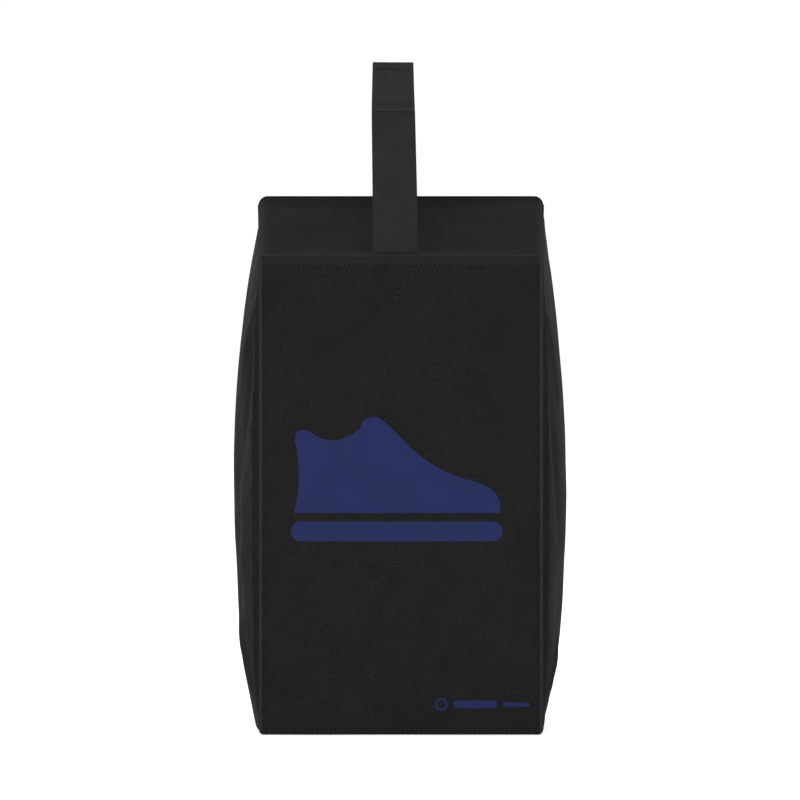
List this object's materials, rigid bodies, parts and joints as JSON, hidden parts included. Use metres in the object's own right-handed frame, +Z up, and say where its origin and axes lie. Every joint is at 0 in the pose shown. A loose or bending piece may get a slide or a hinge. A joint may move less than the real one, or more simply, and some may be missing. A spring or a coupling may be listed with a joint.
{
  "type": "shoe bag",
  "caption": "Upright black fabric shoe bag with a sloped top, side gussets that bulge, a zipped door in the back and a flat webbing handle looped over the top.",
  "frame": {"origin": "middle of the flat underside, where the bag stands", "axes": "+Z up the bag, front panel faces -Y, zipped door faces +Y, +X to the right as seen from the front"},
  "size_m": [0.2396, 0.1613, 0.4918],
  "materials": {
    "fabric_black": "matte woven",
    "webbing_black": "flat woven webbing",
    "binding": "matte woven tape",
    "board": "matte sheet",
    "zip_tape": "matte woven tape",
    "zip_coil": "satin nylon",
    "zip_metal": "satin black",
    "print_blue": "flat screen print"
  },
  "bodies": {
    "root": {"front_panel": "fabric_black", "back_panel": "fabric_black", "top_panel": "fabric_black", "left_gusset": "fabric_black", "right_gusset": "fabric_black", "bottom_panel": "fabric_black", "base_board": "board", "front_hem_facing": "binding", "bottom_seam_binding": "binding", "front_left_seam_binding": "binding", "front_right_seam_binding": "binding", "back_left_seam_binding": "binding", "back_right_seam_binding": "binding", "top_left_seam_binding": "binding", "top_right_seam_binding": "binding", "handle_front_tail": "webbing_black", "handle_rear_tail": "webbing_black", "handle_front_patch": "fabric_black", "handle_rear_patch": "fabric_black", "zip_tape_frame": "zip_tape", "zip_coil_frame": "zip_coil", "zip_end_left": "zip_coil", "zip_end_right": "zip_coil", "zip_end_tab_left": "fabric_black", "zip_end_tab_right": "fabric_black", "print_shoe_upper": "print_blue", "print_shoe_sole": "print_blue", "print_small_ring": "print_blue", "print_small_bar_wide": "print_blue", "print_small_bar_thin": "print_blue"},
    "front_leg": {"handle_front_leg": "webbing_black"},
    "grip": {"handle_grip": "webbing_black", "handle_grip_liner": "webbing_black"},
    "rear_leg": {"handle_rear_leg": "webbing_black"},
    "door": {"back_door": "fabric_black", "zip_tape_door": "zip_tape", "zip_coil_door": "zip_coil"},
    "slider": {"zip_slider": "zip_metal"},
    "pull": {"zip_pull": "zip_metal"}
  },
  "joints": [
    {"name": "handle_lean", "type": "hinge", "parent": "root", "child": "front_leg", "pos_m": [-0.004, -0.0701, 0.342], "axis": [1, 0, 0], "range_deg": [-40, 95]},
    {"name": "grip_fold", "type": "hinge", "parent": "front_leg", "child": "grip", "pos_m": [-0.004, -0.05618, 0.44103], "axis": [1, 0, 0], "range_deg": [-95, 40]},
    {"name": "rear_fold", "type": "hinge", "parent": "grip", "child": "rear_leg", "pos_m": [-0.004, 0.08492, 0.49103], "axis": [1, 0, 0], "range_deg": [-40, 95]},
    {"name": "door_fold", "type": "hinge", "parent": "root", "child": "door", "pos_m": [0, 0.075, 0.06015], "axis": [-1, 0, 0], "range_deg": [0, 95]},
    {"name": "slider_travel", "type": "slide", "parent": "root", "child": "slider", "axis": [0, 0, 1], "range_m": [0, 0.255]},
    {"name": "pull_swing", "type": "hinge", "parent": "slider", "child": "pull", "pos_m": [0.074, 0.0776, 0.031], "axis": [1, 0, 0], "range_deg": [0, 170]}
  ],
  "couplings": [
    {"joint": "grip_fold", "follows": "handle_lean", "ratio": -1},
    {"joint": "rear_fold", "follows": "handle_lean", "ratio": 1}
  ]
}
